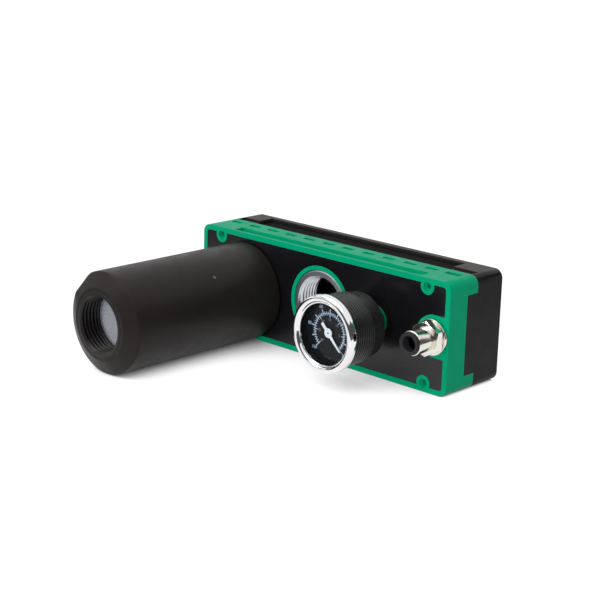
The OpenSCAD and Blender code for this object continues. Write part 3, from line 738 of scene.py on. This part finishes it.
# Half the thickness of a printed number.
NUMBER_DEPTH = 0.015 * MM


def add_number(build, text, size, place, y):
    """Adds a plain number from the built-in font, centred on place, to build."""
    curve = bpy.data.curves.new("number", "FONT")
    curve.body = text
    curve.size = size
    curve.align_x = "CENTER"
    curve.align_y = "CENTER"
    curve.extrude = NUMBER_DEPTH
    holder = bpy.data.objects.new("number", curve)
    bpy.context.scene.collection.objects.link(holder)
    bpy.context.view_layer.update()
    mesh = bpy.data.meshes.new_from_object(holder)
    upright = Matrix.Rotation(math.radians(90), 4, "X")
    mesh.transform(Matrix.Translation((place[0], y, place[1])) @ upright)
    build.from_mesh(mesh)
    bpy.data.objects.remove(holder)
    bpy.data.meshes.remove(mesh)
    bpy.data.curves.remove(curve)


def make_dial_numbers():
    """Plain numbers outside and inside the two scales."""
    axis = centre("gauge_bezel")
    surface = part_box("gauge_dial")[0].y - NUMBER_DEPTH
    for name, finish, count, step, radius, size in (
        ("dial_numbers_outer", "dial_ink", 5, 20, 14.3, 2.5),
        ("dial_numbers_inner", "faint_ink", 6, 5, 7.1, 2.0),
    ):
        build = bmesh.new()
        for i in range(count + 1):
            a = math.radians(SCALE_ZERO + SCALE_SWEEP * i / count)
            place = axis.x + radius * MM * math.cos(a), axis.z + radius * MM * math.sin(a)
            add_number(build, str(i * step), size * MM, place, surface)
        mesh = bpy.data.meshes.new(name)
        build.to_mesh(mesh)
        build.free()
        thing = bpy.data.objects.new(name, mesh)
        bpy.context.scene.collection.objects.link(thing)
        finish_piece(thing, "pointer_white", "housing", finish=finish)


def make_label_tick():
    """A plain printed tick on the label, below the inlet."""
    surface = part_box("front_label")[0].y
    x, z, half, rise = 73.4 * MM, 20.4 * MM, 0.2 * MM, 1.4 * MM
    left, right, low, high = x - half, x + half, z - rise, z + rise
    corners = [(left, low), (right, low), (right, high), (left, high)]
    verts, faces = [], []
    flat_mark(verts, faces, corners, surface, 0.02 * MM)
    piece("label_tick", verts, faces, "pointer_white", "housing")


def soften_cad_edges():
    """Rounds the edges of the CAD pieces that show, with modifiers."""
    widths = {
        "front_cover": 0.45,
        "rear_housing": 0.6,
        "front_label": 0.12,
        "cover_screws": 0.12,
        "gauge_case": 0.12,
        "gauge_stem": 0.2,
        "gauge_dial": 0.05,
    }
    for node, width in widths.items():
        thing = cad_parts[node]
        weld = thing.modifiers.new("weld", "WELD")
        weld.merge_threshold = 0.005 * MM
        bevel = thing.modifiers.new("soft_edges", "BEVEL")
        bevel.width = width * MM
        bevel.segments = 3
        bevel.limit_method = "ANGLE"
        bevel.angle_limit = math.radians(35)
        bevel.use_clamp_overlap = True
        bevel.harden_normals = True


def paint_cad_nodes():
    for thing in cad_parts.values():
        for slot in thing.material_slots:
            slot.material = materials[slot.material.name.split(".")[0]]


# ---- Studio ----


def make_floor():
    """White paper that glows for the camera, less so where the pump stands close to it."""
    half, z = 8, -0.05 * MM
    corners = [(-half, -half, z), (half, -half, z), (half, half, z), (-half, half, z)]
    mesh = bpy.data.meshes.new("floor")
    mesh.from_pydata(corners, [], [(0, 1, 2, 3)])
    floor = bpy.data.objects.new("floor", mesh)
    bpy.context.scene.collection.objects.link(floor)
    contact_reach, glow_share = 0.07, 0.75
    nodes = Nodes("floor_paper")
    diffuse = nodes.add("ShaderNodeBsdfDiffuse", {"Color": (0.55, 0.55, 0.56, 1)})
    glow = nodes.add("ShaderNodeEmission", {"Color": (1, 1, 1, 1)})
    contact = nodes.add("ShaderNodeAmbientOcclusion", {"Distance": contact_reach}, samples=12)
    nodes.link(nodes.spread(contact.outputs["AO"], 0.0, 1.3, 0.03, 0.42), glow.inputs["Strength"])
    share = nodes.calculate("MULTIPLY", add_seen_rays(nodes), glow_share)
    paper = add_shader_mix(nodes, share, diffuse.outputs["BSDF"], glow.outputs["Emission"])
    # In a mirror the paper ends about 0.3 m from the pump.
    far = nodes.add("ShaderNodeVectorMath", operation="LENGTH")
    nodes.link(nodes.coords, far.inputs[0])
    mirrored = nodes.add("ShaderNodeLightPath").outputs["Is Glossy Ray"]
    away = nodes.spread(far.outputs["Value"], 0.0, 0.9, 0.25, 0.3)
    room = nodes.calculate("MULTIPLY", away, mirrored)
    dark = nodes.add("ShaderNodeBsdfDiffuse", {"Color": (0.02, 0.02, 0.02, 1)})
    whole = add_shader_mix(nodes, room, paper, dark.outputs["BSDF"])
    nodes.link(whole, nodes.output.inputs["Surface"])
    mesh.materials.append(nodes.material)


def add_shader_mix(nodes, factor, first, second):
    node = nodes.add("ShaderNodeMixShader")
    for source, target in zip((factor, first, second), node.inputs):
        nodes.link(source, target)
    return node.outputs["Shader"]


def add_seen_rays(nodes):
    """1 for rays from the camera, from a mirror and through glass, and 0 for the light itself."""
    path = nodes.add("ShaderNodeLightPath")
    total = path.outputs["Is Camera Ray"]
    for name in ("Is Glossy Ray", "Is Transmission Ray"):
        total = nodes.calculate("MAXIMUM", total, path.outputs[name])
    return total


class WorldNodes(Nodes):
    def __init__(self, world):
        world.use_nodes = True
        self.tree = world.node_tree
        self.tree.nodes.clear()
        self.output = self.tree.nodes.new("ShaderNodeOutputWorld")


def direction(azimuth, elevation):
    """The unit vector at an azimuth from the front towards the right end, and an elevation."""
    a, e = math.radians(azimuth), math.radians(elevation)
    return Vector((math.sin(a) * math.cos(e), -math.cos(a) * math.cos(e), math.sin(e)))


def add_angles(nodes):
    """The ray's azimuth, from the front towards the right end, and its elevation, in degrees."""
    split = nodes.add("ShaderNodeSeparateXYZ")
    nodes.link(nodes.add("ShaderNodeTexCoord").outputs["Generated"], split.inputs[0])
    front = nodes.calculate("MULTIPLY", split.outputs["Y"], -1.0)
    turn = nodes.calculate("ARCTAN2", split.outputs["X"], front)
    rise = nodes.calculate("ARCSINE", split.outputs["Z"])
    return nodes.calculate("DEGREES", turn), nodes.calculate("DEGREES", rise)


# What mirrors see dark in the room: azimuth, elevation, width and height, in degrees.
DARK_PANELS = ((58, 10, 166, 38), (-46, 31, 18, 14), (-88, 28, 44, 7))
PANEL_LIGHT = 0.08
WORLD_LIGHT = 0.28


def make_world():
    """A soft white studio. In a mirror it has a few dark panels, as a real one has."""
    world = bpy.data.worlds.new("studio")
    bpy.context.scene.world = world
    nodes = WorldNodes(world)
    background = nodes.add("ShaderNodeBackground", {"Color": (1, 1, 1, 1)})
    strength = nodes.spread(add_seen_rays(nodes), WORLD_LIGHT, 1.0, 0.0, 1.0)
    turn, rise = add_angles(nodes)
    panels = 0.0
    for azimuth, elevation, width, height in DARK_PANELS:
        across, upright = nodes.inside(turn, azimuth, width), nodes.inside(rise, elevation, height)
        panel = nodes.calculate("MULTIPLY", across, upright)
        panels = nodes.calculate("MAXIMUM", panels, panel)
    mirrored = nodes.add("ShaderNodeLightPath").outputs["Is Glossy Ray"]
    shaded = nodes.calculate("MULTIPLY", panels, mirrored)
    left = nodes.spread(shaded, 1.0, PANEL_LIGHT, 0, 1)
    nodes.link(nodes.calculate("MULTIPLY", strength, left), background.inputs["Strength"])
    nodes.link(background.outputs["Background"], nodes.output.inputs["Surface"])


def add_sun(name, azimuth, elevation, level, spread, mirrored=True):
    """A soft lamp. level is the share of a facing white surface's brightness that it gives."""
    lamp = bpy.data.lights.new(name, "SUN")
    lamp.energy = level * math.pi
    lamp.angle = math.radians(spread)
    holder = bpy.data.objects.new(name, lamp)
    holder.visible_glossy = mirrored
    bpy.context.scene.collection.objects.link(holder)
    holder.rotation_euler = (-direction(azimuth, elevation)).to_track_quat("-Z", "Y").to_euler()


def make_lights():
    add_sun("top_light", -60, 80, 0.3, 70)
    add_sun("key_light", -28, 40, 0.22, 25)
    add_sun("front_light", 24, 13, 0.47, 24, mirrored=False)


def make_camera():
    roll, distance = math.radians(1.304), 808.98 * MM
    aim = Vector((-12.93, -22, 31.4)) * MM
    back = direction(43.78, 15.493)
    right = Vector((0, 0, 1)).cross(back).normalized()
    up = back.cross(right)
    data = bpy.data.cameras.new("camera")
    data.lens = 86.02
    data.sensor_width = 36
    data.clip_start = 0.05
    data.clip_end = 50
    camera = bpy.data.objects.new("camera", data)
    bpy.context.scene.collection.objects.link(camera)
    columns = (
        right * math.cos(roll) + up * math.sin(roll),
        up * math.cos(roll) - right * math.sin(roll),
        back,
    )
    rotation = Matrix(columns).transposed().to_4x4()
    camera.matrix_world = Matrix.Translation(aim + back * distance) @ rotation
    bpy.context.scene.camera = camera


make_camera()
materials = make_materials()
make_world()
make_lights()
make_floor()
paint_cad_nodes()
soften_cad_edges()
make_silencer()
make_vacuum_insert()
make_bezel()
make_inlet()
make_release_ring()
make_pointer()
make_dial_scales()
make_dial_numbers()
make_label_tick()
bpy.context.scene.view_settings.view_transform = "Standard"
